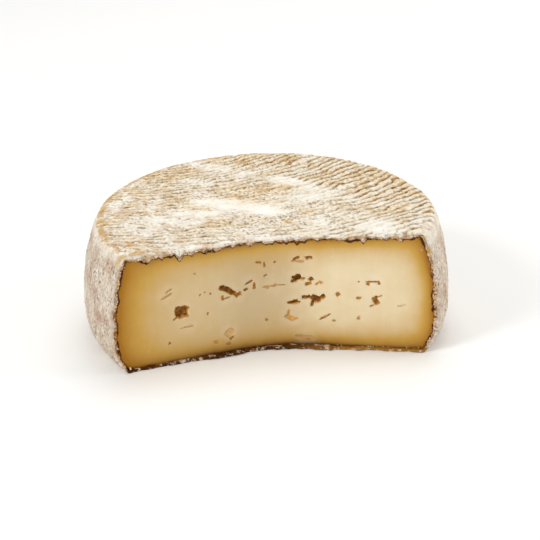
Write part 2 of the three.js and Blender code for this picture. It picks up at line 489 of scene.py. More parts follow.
def rind_shell(shape):
    """The rind as a closed shell: skin, torn lip along the cut, and the wall against the paste."""
    s = shape.sizes
    shell = Shell()
    numbers, along, height = add_skin(shell, shape, 0, 0, SIDE_COLUMNS, TOP_SPACING)

    step = np.hypot(np.roll(along, -1) - along, np.roll(height, -1) - height)
    total = step.sum()
    run = np.cumsum(step) - step
    draw = np.random.default_rng(7)
    wave_lengths = (17, 9, 4.5, 2.3, 1.1, 11, 5, 2, 7, 3, 1.4)
    waves = {size: unevenness(run, total, size * MM, draw) for size in wave_lengths}
    plan, _ = shape.cut_at(along)
    top = shape.top_height(distance(plan))
    at_top = np.clip((height - top + 4 * MM) / (3 * MM), 0, 1)
    at_base = np.clip((4 * MM - height) / (3 * MM), 0, 1)
    at_side = 1 - at_top - at_base
    middle = np.clip(1 - np.abs(height - 28 * MM) / (32 * MM), 0, 1)
    hang = s.rind_thickness + MM * (
        0.12
        + at_top * (0.4 + 0.3 * waves[17] + 0.5 * waves[9] + 0.55 * waves[4.5])
        + (0.15 + 0.5 * at_top) * np.abs(waves[2.3])
        + (0.15 + 0.35 * at_top) * np.abs(waves[1.1])
        + at_side * (0.5 + 1.3 * middle + 0.4 * waves[9] + 0.4 * waves[4.5])
        + at_base * (0.35 * waves[4.5] + 0.3 * waves[9])
    )
    hang = np.maximum(hang, s.rind_thickness + 0.1 * MM)
    for place, tooth, width in TEETH:
        off = np.abs(along / MM - place) / (width / 2)
        hang = hang + at_top * tooth * MM * np.clip(1 - off, 0, 1) ** 1.1
    stand_off = MM * (
        0.25
        + at_top * (0.4 + 0.35 * waves[11] + 0.3 * waves[5])
        + at_base * (1.4 + 1.2 * waves[17] + 0.5 * waves[5] + 0.4 * waves[2])
        + (0.12 + 0.18 * at_top) * waves[2]
        + 0.15 * at_side * waves[5]
    )
    stand_off = np.maximum(stand_off, 0.1 * MM)
    ledge = MM * np.clip(0.45 + 0.7 * waves[7] + 0.5 * waves[3] + 0.3 * waves[1.4], 0.05, 1.6)
    ledge = ledge * (1 - 0.6 * at_base)

    rows = [(hang * share, stand_off * stand, torn) for share, stand, torn in LIP_ROWS]
    for share, stand in LEDGE_ROWS:
        rows.append((hang + ledge * share, stand * MM, 1.0))
    lower = numbers
    for depth, forward, torn in rows:
        in_along, in_height = shape.inside_face(along, height, depth)
        points = shape.on_face(in_along, in_height, forward)
        marks = np.column_stack([at_top * (1 - torn), np.full(len(points), torn)])
        upper = shell.add(points, marks)
        shell.strip(upper, lower, closed=True)
        lower = upper
    in_along, in_height = shape.inside_face(along, height, s.rind_thickness)
    upper = shell.add(shape.on_face(in_along, in_height, -0.6 * MM), (0, 1))
    shell.strip(upper, lower, closed=True)
    hidden = (s.rind_thickness, 1.2 * MM, HIDDEN_COLUMNS, HIDDEN_SPACING)
    inner, _, _ = add_skin(shell, shape, *hidden, flip=True)
    shell.strip(inner, upper, closed=True)
    return shell


def paste_shell(shape):
    """The paste as a closed block that fills the rind, with an evenly divided cut face."""
    shell = Shell()
    inset = shape.sizes.rind_thickness + 0.05 * MM
    numbers, along, height = add_skin(shell, shape, inset, 0, HIDDEN_COLUMNS, HIDDEN_SPACING)
    loop = np.column_stack([along, height])
    inner = honeycomb(loop.min(0), loop.max(0), FACE_SPACING)
    kept_along, kept_height = shape.inside_face(inner[:, 0], inner[:, 1], inset + 1.2 * FACE_SPACING)
    inner = inner[(kept_along == inner[:, 0]) & (kept_height == inner[:, 1])]
    added = shell.add(shape.on_face(inner[:, 0], inner[:, 1], 0), (0, 0))
    faces = np.concatenate([numbers, added])[fill_loop(loop, inner)]
    shell.faces.extend(faces.tolist())
    return shell


# --- Node trees


def joining(operation, swapped=False):
    """A method that joins two values by a node."""

    def join(wire, other):
        pair = (other, wire) if swapped else (wire, other)
        return wire.sheet.math(operation, *pair)

    return join


class Wire:
    """One value in a node tree, so that a pattern reads as a formula."""

    def __init__(self, sheet, socket):
        self.sheet = sheet
        self.socket = socket

    __add__ = joining("ADD")
    __sub__ = joining("SUBTRACT")
    __mul__ = joining("MULTIPLY")
    __truediv__ = joining("DIVIDE")
    __radd__ = joining("ADD", swapped=True)
    __rsub__ = joining("SUBTRACT", swapped=True)
    __rmul__ = joining("MULTIPLY", swapped=True)
    __rtruediv__ = joining("DIVIDE", swapped=True)

    def step(self, low, high):
        """0 below low and 1 above high, with a soft change between. Low may be the larger."""
        limits = {"Value": self, "From Min": low, "From Max": high}
        return self.sheet.node("ShaderNodeMapRange", limits, interpolation_type="SMOOTHSTEP")

    def inverse(self):
        return 1.0 - self

    def clamped(self):
        return self.sheet.node("ShaderNodeClamp", [self, 0.0, 1.0])

    def split(self):
        first = self.sheet.node("ShaderNodeSeparateXYZ", [self])
        return tuple(Wire(self.sheet, socket) for socket in first.socket.node.outputs)


class Sheet:
    """A node tree that is laid out by formulas. It works on a material's tree and on a geometry tree."""

    def __init__(self, tree):
        self.tree = tree

    def node(self, kind, inputs=(), out=0, **settings):
        node = self.tree.nodes.new(kind)
        for name, value in settings.items():
            setattr(node, name, value)
        self.fill(node, inputs if isinstance(inputs, dict) else dict(enumerate(inputs)))
        return Wire(self, node.outputs[out])

    def fill(self, node, inputs):
        """Links or sets the inputs of a node, by name or by number."""
        for key, value in inputs.items():
            if isinstance(value, Wire):
                self.tree.links.new(value.socket, node.inputs[key])
            else:
                node.inputs[key].default_value = value

    def math(self, operation, *values):
        return self.node("ShaderNodeMath", values, operation=operation)

    def vector(self, x, y, z=0.0):
        return self.node("ShaderNodeCombineXYZ", [x, y, z])

    def root(self, square):
        return self.math("SQRT", square)

    def larger(self, first, second):
        return self.math("MAXIMUM", first, second)

    def scaled(self, vector, factor):
        return self.node("ShaderNodeVectorMath", {0: vector, "Scale": factor}, operation="SCALE")

    def moved(self, geometry, offset):
        """The geometry with each point or copy moved by the offset."""
        return self.node("GeometryNodeSetPosition", {"Geometry": geometry, "Offset": offset})

    def mark(self, name, kind="FLOAT"):
        """What is kept on each point, in a geometry tree."""
        return self.node("GeometryNodeInputNamedAttribute", {"Name": name}, data_type=kind)

    def object(self, given):
        return self.node("GeometryNodeObjectInfo", {"Object": given}, out="Geometry")

    def noise(self, place, size, detail=2.0, roughness=0.5):
        """Noise from 0 to 1 with features of about the given size, in the units of place."""
        settings = {"Vector": place, "Scale": 1 / size, "Detail": detail, "Roughness": roughness}
        return self.node("ShaderNodeTexNoise", settings)

    def cells(self, place, size):
        """Distance to the nearest of scattered spots, as a share of their spacing."""
        return self.node("ShaderNodeTexVoronoi", {"Vector": place, "Scale": 1 / size})

    def mix(self, share, *pair):
        """The first colour where share is 0, and the second where it is 1."""
        pair = [value if isinstance(value, Wire) else (*value, 1.0) for value in pair]
        sockets = {0: share, 6: pair[0], 7: pair[1]}
        return self.node("ShaderNodeMix", sockets, out=2, data_type="RGBA", clamp_factor=True)

    def coats(self, ground, *coats):
        """The ground with coats laid over it, each given by its share and its colour."""
        for share, coat in coats:
            ground = self.mix(share, ground, coat)
        return ground

    def attribute(self, name):
        """A number kept on the mesh, in a material's tree."""
        return self.node("ShaderNodeAttribute", out="Fac", attribute_name=name)


def input_name(field):
    """The name that a property's input has in a tree."""
    return field.replace("_", " ").title()


def geometry_sheet(name, inputs):
    """A geometry tree with named inputs. Returns its sheet, its geometry and its other inputs by name."""
    tree = bpy.data.node_groups.new(name, "GeometryNodeTree")
    tree.interface.new_socket("Geometry", in_out="INPUT", socket_type="NodeSocketGeometry")
    tree.interface.new_socket("Geometry", in_out="OUTPUT", socket_type="NodeSocketGeometry")
    for input_name, kind in inputs.items():
        tree.interface.new_socket(input_name, in_out="INPUT", socket_type="NodeSocket" + kind)
    sheet = Sheet(tree)
    start = tree.nodes.new("NodeGroupInput")
    given = {socket.name: Wire(sheet, socket) for socket in start.outputs if socket.name}
    return sheet, given.pop("Geometry"), given


def finish_tree(sheet, geometry, material):
    realized = sheet.node("GeometryNodeRealizeInstances", [geometry])
    painted = sheet.node("GeometryNodeSetMaterial", {"Geometry": realized, "Material": material})
    end = sheet.tree.nodes.new("NodeGroupOutput")
    sheet.tree.links.new(painted.socket, end.inputs["Geometry"])


def run_tree(piece, sheet, values):
    """Puts the tree on the piece with its inputs set, and keeps the result as the piece's plain mesh."""
    modifier = piece.modifiers.new(sheet.tree.name, "NODES")
    modifier.node_group = sheet.tree
    for item in sheet.tree.interface.items_tree:
        if item.in_out == "INPUT" and item.name in values:
            modifier[item.identifier] = values[item.name]
    graph = bpy.context.evaluated_depsgraph_get()
    mesh = bpy.data.meshes.new_from_object(piece.evaluated_get(graph))
    piece.modifiers.remove(modifier)
    piece.data = mesh
    mesh.name = piece.name


def keep_largest_body(mesh):
    """Drops the loose bits that the openings leave behind, and faces that are thinner than a hair."""
    body = bmesh.new()
    body.from_mesh(mesh)
    left = set(body.faces)
    largest = set()
    while left:
        reached = [left.pop()]
        part = set(reached)
        while reached:
            near = {face for edge in reached.pop().edges for face in edge.link_faces} & left
            left -= near
            part |= near
            reached.extend(near)
        largest = max(largest, part, key=len)
    loose = [face for face in body.faces if face not in largest]
    bmesh.ops.delete(body, geom=loose, context="FACES")
    bmesh.ops.dissolve_degenerate(body, edges=body.edges, dist=HAIR)
    body.to_mesh(mesh)
    body.free()


def add_piece(name, data):
    piece = bpy.data.objects.new(name, data)
    bpy.context.scene.collection.objects.link(piece)
    return piece


def keep_piece(piece):
    """Checks the finished piece and hands it to the frame. Returns what an operator returns."""
    if not piece.data.polygons:
        raise RuntimeError(f"{piece.name} came out empty")
    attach(piece, BODY)
    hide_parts(NODE)
    return {"FINISHED"}


# --- Patterns shared by shape and colour


def soft_patch(sheet, place, centre, radii, lean, ragged=0.5):
    """1 inside a soft-edged oval on the top and 0 outside. Lean is in degrees."""
    x, y, _ = place.split()
    x = x - centre[0]
    y = y - centre[1]
    cosine, sine = math.cos(math.radians(lean)), math.sin(math.radians(lean))
    across = (x * cosine + y * sine) / radii[0]
    up = (y * cosine - x * sine) / radii[1]
    stray = (sheet.noise(place, 9.0, 4.0, 0.6) - 0.5) * 2 * ragged
    return (sheet.root(across * across + up * up) + stray).step(1.25, 0.55)


def cloth_pattern(sheet, place, spacing):
    """The print of the cloth on the top. place is in millimetres. Returns, each from 0 to 1: the furrows
    between the ridges, how deep the print is, the creases of the cloth, and the coordinates of the print."""
    x, y, _ = place.split()
    noise = partial(sheet.noise, place)
    wander = (noise(28.0, 1.0) - 0.5) * 8 + (noise(5.5, 2.0) - 0.5) * 4.4
    turned = y * (0.78 - x * (0.0029 + y * 0.000015)) - x * (0.226 + x * 0.0011) + wander
    phase = turned / spacing
    run = x * 0.9 + y * 0.4
    wave = sheet.math("COSINE", phase * math.tau)
    print_place = sheet.vector(run / 4.5, phase * 1.1)
    broken = sheet.noise(print_place, 1.0, 2.0, 0.7)
    right_back = (x * 0.75 + y * 0.65).step(18.0, 58.0)
    evenness = right_back * 0.4 + 0.15
    furrow = wave.step(-0.1, 0.95) * (broken.step(0.36, 0.6) * (evenness * -1.0 + 1.0) + evenness)

    centre = sheet.root((x + 4) * (x + 4) * 0.55 + (y - 6) * (y - 6))
    depth = centre.step(12.0, 48.0) * 0.6 + 0.4
    patchy = noise(12.0, 3.0, 0.6).step(0.38, 0.6)
    depth = depth * (patchy * 0.8 + 0.3 + right_back * 0.5).clamped()
    from_axis = sheet.root(x * x + y * y)
    right_rim = from_axis.step(62.0, 82.0) * (x + y * 0.3).step(40.0, 75.0)
    left = (x * -1.0 + y * 0.2).step(20.0, 60.0)
    depth = depth * (right_back * 0.2 + right_rim * 0.35 + left * 0.3 + 0.9)
    left_rim = from_axis.step(81.5, 85.0) * (x * -0.85 + y * 0.5).step(0.0, 45.0)
    depth = depth * (left_rim * -0.85 + 1.0)

    creases = None
    stray = (noise(13.0, 3.0, 0.6) - 0.5) * 15
    for start, end, width in CREASES:
        line = segment(sheet, x + stray, y + stray * 0.4, start, end, width)
        creases = line if creases is None else sheet.larger(creases, line)
    creases = creases * noise(6.0, 3.0, 0.6).step(0.36, 0.54)
    return furrow * (creases * -0.6 + 1), depth, creases, print_place


# Creases of the cloth on the top: from, to, half width, in millimetres
CREASES = [
    ((-43, 76), (-27, 54), 2.6),
    ((-78, 40), (-57, 2), 2.2),
    ((-60, 2), (-41, -48), 2.4),
    ((-17, 60), (13, 36), 1.8),
    ((-68, 22), (-48, -12), 1.8),
    ((-73, -4), (-56, -50), 1.6),
]


def segment(sheet, x, y, start, end, half_width):
    """1 on a line between two flat points, fading to 0 at its half width."""
    run = (end[0] - start[0], end[1] - start[1])
    size = math.hypot(*run)
    along = ((x - start[0]) * run[0] + (y - start[1]) * run[1]) / size**2
    across = ((y - start[1]) * run[0] - (x - start[0]) * run[1]) / size
    fade = along.step(-0.15, 0.2) * along.step(1.15, 0.8)
    return sheet.math("ABSOLUTE", across).step(half_width * 1.3, 0.0) * fade


def relief_sheet(relief, material):
    """Raises the cloth's print, creases, lumps and grain on the rind, along its normals."""
    values = {input_name(field): getattr(relief, field) for field in RindRelief.__annotations__}
    values["Ridge Spacing"] /= MM
    sheet, geometry, given = geometry_sheet("Rind relief", dict.fromkeys(values, "Float"))
    place = sheet.scaled(sheet.node("GeometryNodeInputPosition"), 1 / MM)
    noise = partial(sheet.noise, place)
    x, y, z = place.split()
    top = sheet.mark("top_share")
    torn = sheet.mark("torn")
    furrow, depth, creases, _ = cloth_pattern(sheet, place, given["Ridge Spacing"])
    grain = noise(1.5, 3.0, 0.6) - 0.5
    lumps = (noise(34.0, 2.0) - 0.5) * 2 + (noise(9.0, 2.0) - 0.5) * 1.1
    angle = sheet.math("ARCTAN2", y, x)
    streaks = sheet.noise(sheet.vector(angle * 32.0, z / 9.0), 1.0, 3.0, 0.6) - 0.5

    on_top = given["Ridge Height"] * (0.45 - furrow) * depth + given["Crease Height"] * creases
    on_side = given["Grain Height"] * streaks * 3.0
    skin = torn.inverse()
    rise = (top * on_top + top.inverse() * on_side) * (torn * -4.0 + 1.0).clamped()
    rise = rise + given["Grain Height"] * grain * (skin * 0.6 + 0.4) * 2.0
    rise = rise + given["Lump Height"] * lumps * skin
    tufts = (noise(2.6, 3.0, 0.6) - 0.5) * torn.step(0.12, 0.4)
    rise = rise + given["Tuft Height"] * tufts * 2.0
    off_floor = z.step(0.0, 3.0)
    offset = sheet.scaled(sheet.node("GeometryNodeInputNormal"), rise * off_floor)
    finish_tree(sheet, sheet.moved(geometry, offset), material)
    return sheet, values


# --- Materials


def new_material(name):
    """A node material with its sheet, its shader and the place on the surface in millimetres."""
    material = bpy.data.materials.new(name)
    material.use_nodes = True
    sheet = Sheet(material.node_tree)
    shader = material.node_tree.nodes["Principled BSDF"]
    coordinates = sheet.node("ShaderNodeTexCoord", out="Object")
    return material, sheet, shader, sheet.scaled(coordinates, 1 / MM)


def bump(sheet, height, strength, millimetres):
    settings = {"Height": height, "Strength": strength, "Distance": millimetres * MM}
    return sheet.node("ShaderNodeBump", settings)


def finish_shader(sheet, shader, skin, normal, roughness, gloss):
    """Gives the shader its colour, its fine relief, its roughness and how strongly it reflects."""
    finish = {"Base Color": skin, "Normal": normal, "Roughness": roughness, "Specular IOR Level": gloss}
    sheet.fill(shader, finish)


def rind_material(colours, relief):
    material, sheet, shader, place = new_material("rind")
    noise = partial(sheet.noise, place)
    mix = sheet.mix
    x, y, z = place.split()
    top = sheet.attribute("top_share")
    torn = sheet.attribute("torn")
    furrow, depth, creases, print_place = cloth_pattern(sheet, place, relief.ridge_spacing / MM)
    whole = torn.step(0.5, 0.1) * 0.7 + 0.3
    fine = noise(1.3, 3.0, 0.7)
    broad = noise(12.0, 3.0, 0.6)
    from_axis = sheet.root(x * x + y * y)
    fleck = sheet.noise(print_place, 0.45, 3.0, 0.7)

    # Where the mould is thin and the rind's own colour shows
    right_back = (x * 0.75 + y * 0.65).step(22.0, 62.0)
    left_edge = (x * -0.9 + y * 0.4).step(55.0, 88.0)
    thin = right_back * 0.5 + left_edge * 0.8 + y.step(52.0, 86.0) * 0.42
    rubbed = 0.0
    for centre, radii, lean, strength in THIN_PATCHES:
        rubbed = soft_patch(sheet, place, centre, radii, lean) * strength + rubbed
    uneven = broad.step(0.4, 0.58) * 1.1 + 0.2
    thin = ((thin + rubbed * 0.6 + 0.22) * uneven + right_back * 0.1 + rubbed * 0.45).clamped()
    thick = None
    for centre, radii, lean, strength in THICK_PATCHES:
        patch = soft_patch(sheet, place, centre, radii, lean) * strength
        thick = patch if thick is None else sheet.larger(thick, patch)
    bald = thick.inverse()
    clouded = noise(10.0, 4.0, 0.7).step(0.46, 0.6) * x.step(45.0, -10.0)
    stain = furrow * (depth * 1.1 + thin * 0.3) * bald * (fine.step(0.3, 0.6) * 0.6 + 0.5)
    core = furrow.step(0.55, 1.0) * fleck.step(0.36, 0.56) * (depth * 0.65 + thin * 0.35) * bald
    mottle = fleck.step(0.46, 0.68) * (thin * 0.35 + 0.3) * bald
    tan = thin * noise(5.0, 3.0, 0.6).step(0.48, 0.66)

    # Small dark dots, in rows with the print
    spots = sheet.cells(print_place, 0.42)
    dots = spots.step(0.48, 0.2) * noise(11.0, 2.0).step(0.36, 0.52) * bald
    dots = dots * (depth * -0.7 + 1.2)
    dots = dots + fleck.step(0.62, 0.74) * fine.step(0.5, 0.62) * (bald * 0.7 + 0.15)
    bloom = creases * 0.5 + thick * 0.6 + fine.step(0.5, 0.3) * 0.3
    bare = (right_back * -0.7 - rubbed * 1.4 + 1.0).clamped()
    bloom = bloom + broad.step(0.5, 0.36) * bare * 0.42
    ground = sheet.coats(
        mix(thin * 0.8, colours.mould, colours.straw),
        (clouded * bald * 0.52, colours.clouded),
        ((stain * whole).clamped(), mix(thin * 1.6, colours.shadow, colours.furrow)),
        (core.clamped() * 0.9, colours.groove),
        (mottle, colours.furrow),
        (tan * 0.55, colours.bare),
        (dots.clamped() * whole * 0.85, colours.dot),
        (bloom.clamped(), BLOOM),
    )

    # The side, streaked and speckled
    angle = sheet.math("ARCTAN2", y, x)
    around = sheet.vector(angle * 95.0, z * 0.7)
    streaks = sheet.noise(sheet.vector(angle * 36.0, z / 5.0), 1.0, 5.0, 0.7)
    ribs = sheet.noise(sheet.vector(angle * 120.0, z / 1.8), 1.0, 4.0, 0.7)
    specks = sheet.noise(around, 1.3, 3.0, 0.7).step(0.5, 0.62)
    specks = specks * (sheet.noise(around, 9.0, 3.0, 0.6).step(0.4, 0.6) * 0.9 + 0.15)
    wall = sheet.coats(
        mix(streaks.step(0.34, 0.6), CHALK, colours.side),
        (sheet.noise(around, 12.0, 4.0, 0.65).step(0.45, 0.66) * 0.7, colours.blush),
        (ribs.step(0.48, 0.64) * torn.step(0.2, 0.05) * 0.6, DUST),
        (noise(5.0, 3.0, 0.65).step(0.62, 0.7) * 0.6, SORE),
        (specks * torn.step(0.3, 0.05), colours.dot),
        (z.step(56.5, 60.5) * 0.5, colours.mould),
    )

    # The rubbed band along the rim, on the left
    leftward = (x * -0.85 + y * 0.5).step(10.0, 60.0)
    band = from_axis.step(82.6, 84.2) * from_axis.step(87.2, 86.2) * leftward
    worn_corner = soft_patch(sheet, place, (-66, -48), (13, 3), 18) * z.step(57.0, 60.0)
    band = sheet.larger(band, worn_corner) * noise(7.0, 4.0, 0.7).step(0.4, 0.54)

    # The torn lip: pale where it is fluffy, brown where it is dry, and flaky near the floor. Its tip and the
    # ledge below it carry a dark line, dry brown skin and painted shadow under the overhang
    dry = noise(2.4, 4.0, 0.7)
    lip = sheet.coats(
        mix(dry.step(0.42, 0.56) * 0.9, colours.frayed, colours.toffee),
        (noise(3.0, 3.0, 0.6).step(0.5, 0.6) * 0.8, colours.gold),
        (fine.step(0.52, 0.64), colours.torn),
    )
    low = z.step(3.4, 2.2) * torn.step(0.01, 0.08)
    flakes = mix(fine.step(0.42, 0.58), colours.torn, colours.blush)
    under = sheet.coats(
        mix(dry.step(0.34, 0.5), colours.toffee, colours.crust),
        (x.step(5.0, 45.0) * 0.8, colours.ochre_dry),
        (noise(3.2, 3.0, 0.65).step(0.52, 0.58) * 0.85, flakes),
    )
    # Dark line at the lip's tip and the ledge: dry brown skin, and painted shadow where the lip overhangs the
    # paste
    edge = (torn + (dry - 0.5) * 1.8).step(0.6, 0.85) * (low * -0.75 + 1.0)
    dry_tip_and_shadow = mix(noise(5.0, 3.0, 0.6).step(0.5, 0.6) * 0.7, colours.crust, colours.toffee)
    skin = sheet.coats(
        mix(top.step(0.05, 0.5), wall, ground),
        (band * 0.75, colours.bare),
        (band * fine.step(0.5, 0.66) * 0.6, colours.blush),
        ((torn + (broad - 0.5) * 0.6).step(0.2, 0.34) * 0.9, lip),
        (low, under),
        # The dark line at the tip, dry skin and painted shadow
        (edge, dry_tip_and_shadow),
    )

    print_depth = (0.5 - furrow) * top * depth * (torn * -4.0 + 1.0).clamped()
    height = print_depth * 0.5 + fine * 0.8 + fleck * 0.4 + noise(0.5, 2.0) * 0.3
    finish_shader(sheet, shader, skin, bump(sheet, height, 0.8, 1.1), thin * -0.12 + 0.9, 0.12)
    return material


# Patches on the top: middle, half width and half depth in millimetres, lean in degrees, strength
THIN_PATCHES = [
    ((-14, 32), (17, 9), 8, 0.8), ((5, 36), (12, 11), -35, 0.9),
    ((-46, 19), (9, 12), 30, 0.55), ((-58, 46), (14, 9), 40, 0.5),
    ((-40, 60), (12, 6), 30, 0.9), ((21, 3), (5, 4), -40, 0.9),
    ((11, -10), (3, 3), 0, 1.0), ((-64, -37), (7, 9), 0, 0.9),
    ((-22, -12), (12, 8), 0, 0.45), ((-33, 12), (9, 6), -20, 0.8),
    ((-20, 76), (13, 6), 5, 1.1), ((8, 72), (9, 5), 0, 0.6),
    ((-60, 8), (8, 14), 10, 0.4), ((-8, 22), (26, 10), 0, 0.3),
]
THICK_PATCHES = [
    ((-22, 16), (16, 7), -8, 0.8), ((-2, 8), (14, 8), -20, 0.8),
    ((12, 45), (12, 5), -35, 1.0), ((-27, 66), (8, 5), 0, 0.6),
    ((56, -22), (10, 8), 20, 0.9), ((-37, 3), (10, 6), 0, 0.6),
    ((28, 27), (14, 9), -30, 0.5),
]


def paste_material(colours):
    material, sheet, shader, place = new_material("paste")
    noise = partial(sheet.noise, place)
    x, _, z = place.split()
    side_gap = sheet.attribute("side_gap")
    top_gap = sheet.attribute("top_gap")
    base_gap = sheet.attribute("base_gap")
    behind = sheet.attribute("behind_cut")
    cloudy = noise(12.0, 3.0, 0.55)

    def fading(gap, reach, strength):
        return sheet.math("EXPONENT", gap / reach * -1.0) * strength

    side_reach = x.step(-20.0, 30.0) * -7.0 + 12.0
    base_reach = x.step(0.0, 60.0) * 1.2 + 7.0
    unripe = fading(side_gap - 2.6, side_reach, 1.2).inverse()
    unripe = unripe * fading(top_gap - 1.4, 6.0, 1.08).inverse()
    unripe = unripe * fading(base_gap - 1.4, base_reach, 0.85).inverse()
    knife_marks = sheet.noise(sheet.vector(x / 3.0, z / 30.0), 1.0, 3.0, 0.6) - 0.5
    ripe = (unripe.inverse() + (cloudy - 0.5) * 0.2 + knife_marks * 0.07).clamped()
    # How strongly the underside darkens: most round the fold, where painted contact shade joins the dry paste
    around_fold = x.step(-70.0, -20.0) * x.step(60.0, 15.0) * 0.7 + 0.3
    low_gap = base_gap + (noise(7.0, 3.0, 0.6) - 0.5) * 2.4
    # A dark strip along the rind: dry paste, and painted shadow where the lip overhangs the top
    dry_strip_and_shadow = fading(side_gap - 2.6, 0.8, 0.6) + fading(top_gap - 1.6, 0.9, 0.8)
    dry_strip_and_shadow = dry_strip_and_shadow * (noise(4.0, 3.0, 0.6).step(0.4, 0.55) * 0.8 + 0.3)
    # Painted highlight: a pale ring round each wide opening
    halo = sheet.attribute("opening_gap") + noise(5.0, 3.0, 0.6) * 6 - 3
    # How far the walls of the openings turn to the dark brown: painted shade deeper in
    deep = behind.step(1.1, 3.0) * (noise(1.4, 3.0, 0.6).step(0.3, 0.6) * 0.4 + 0.6)
    flesh = sheet.coats(
        # The left face gets the darker copy of the paste, as painted shade
        sheet.mix(x.step(40.0, 0.0), colours.paste, colours.paste_left),
        # Painted shade in the hollow of the fold: a faint toffee tint
        (x.step(-34.0, -4.0) * x.step(28.0, 4.0) * 0.14, colours.toffee),
        (ripe * 2.0, colours.gold),
        (ripe * 2.0 - 1.0, colours.ochre),
        # Dark brown towards the underside: dry paste, and painted contact shade where the paste meets the
        # floor
        ((fading(low_gap - 1.4, 3.4, 0.95) * around_fold).clamped(), colours.toffee),
        ((fading(low_gap - 1.4, 1.3, 1.1) * around_fold).clamped(), colours.crust),
        # The dark strip along the rind, dry paste and painted shadow
        (dry_strip_and_shadow.clamped(), colours.toffee),
        (noise(4.0, 4.0, 0.6).step(0.64, 0.8) * 0.25, FLECK),
        # The painted highlight round the wide openings
        (halo.step(5.0, 0.0) * 0.12, colours.halo),
        # Walls of the openings: golden near the cut, with painted shade deeper in
        (behind.step(0.1, 1.2), sheet.mix(deep, colours.opening, colours.hollow)),
    )

    grain = noise(0.9, 3.0, 0.6) * 0.4 + noise(5.0, 2.0) + cloudy * 2.0
    roughness = noise(6.0, 3.0, 0.6) * 0.2 + 0.34
    finish_shader(sheet, shader, flesh, bump(sheet, grain, 0.35, 0.4), roughness, 0.24)
    glow = {"Subsurface Weight": 0.2, "Subsurface Radius": (1.0, 0.6, 0.25), "Subsurface Scale": 2 * MM}
    sheet.fill(shader, glow)
    return material


def crumb_material(colours):
    material, sheet, shader, place = new_material("crumb")
    noise = partial(sheet.noise, place)
    skin = sheet.coats(
        colours.torn,
        (noise(2.0, 2.0, 0.6).step(0.36, 0.56), colours.furrow),
        (noise(5.0, 2.0, 0.6).step(0.44, 0.56) * 0.7, colours.blush),
    )
    finish_shader(sheet, shader, skin, bump(sheet, noise(0.5, 2.0), 0.6, 0.4), 0.9, 0.2)
    return material


# --- Pieces


def ragged_lumps(sheet, points, subdivisions, size, rotation, raggedness):
    """Uneven lumps on the points, one for each. Size is a vector of half sizes in metres."""
    ball = sheet.node("GeometryNodeMeshIcoSphere", {"Radius": 1.0, "Subdivisions": subdivisions})
    position = sheet.node("GeometryNodeInputPosition")
    x, y, z = (sheet.math("ABSOLUTE", part) for part in position.split())
    reach = sheet.larger(sheet.larger(x, y), z)
    blocky = sheet.scaled(position, (1 / reach - 1) * BLOCKINESS + 1)
    ball = sheet.node("GeometryNodeSetPosition", {"Geometry": ball, "Position": blocky})
    inputs = {"Points": points, "Instance": ball, "Rotation": rotation, "Scale": size}
    lumps = sheet.node("GeometryNodeRealizeInstances", [sheet.node("GeometryNodeInstanceOnPoints", inputs)])
    texture = {"Vector": position, "Scale": 460.0, "Detail": 4.0}
    wobble = sheet.node("ShaderNodeTexNoise", texture, out="Color")
    blocks = sheet.node("ShaderNodeTexVoronoi", {"Vector": position, "Scale": 700.0}, out="Color")
    both = sheet.node("ShaderNodeVectorMath", [wobble, sheet.scaled(blocks, 0.35)], operation="ADD")
    centred = sheet.node("ShaderNodeVectorMath", [both, (0.675, 0.675, 0.675)], operation="SUBTRACT")
    return sheet.moved(lumps, sheet.scaled(centred, raggedness))


def openings_sheet(material):
    """Takes the torn openings out of the paste."""
    inputs = {"Places": "Object", "Raggedness": "Float"}
    sheet, geometry, given = geometry_sheet("Openings", inputs)
    points = sheet.node("GeometryNodeMeshToPoints", {"Mesh": sheet.object(given["Places"])})
    half_size = sheet.mark("half_size", "FLOAT_VECTOR")
    turn = sheet.mark("turn", "FLOAT_VECTOR")
    smoothness = sheet.math("MINIMUM", half_size.split()[1] / SMOOTH_DEPTH, 1.0)
    lumps = ragged_lumps(sheet, points, 4, half_size, turn, given["Raggedness"] * smoothness)
    island = sheet.node("GeometryNodeInputMeshIsland", out="Island Index")
    lumps = sheet.node("GeometryNodeSplitToInstances", {"Geometry": lumps, "Group ID": island})
    sockets = {"Mesh 1": geometry, "Mesh 2": lumps}
    cut = sheet.node("GeometryNodeMeshBoolean", sockets, operation="DIFFERENCE", solver="MANIFOLD")
    finish_tree(sheet, cut, material)
    return sheet


def opening_places(shape):
    """A helper mesh with one point for each lump, and its half sizes and turn."""
    along, height, width, tallness, lean, depth = np.array(LUMPS).T
    shallow = np.clip(1.5 - depth, 0, 1)
    points = shape.on_face(along * MM, height * MM, shallow * depth * 0.8 * MM)
    _, backward = shape.cut_at(along * MM)
    bearing = np.arctan2(backward[:, 1], backward[:, 0]) - math.pi / 2
    half = 0.56 + 0.1 * shallow
    half_size = np.stack([width * half, depth * (1 + 0.8 * shallow), tallness * half], -1) * MM
    mesh = new_mesh("opening_places", shape.swollen(points))
    mark_points(mesh, "half_size", half_size)
    mark_points(mesh, "turn", np.stack([bearing * 0, -np.radians(lean), bearing], -1))
    return mesh


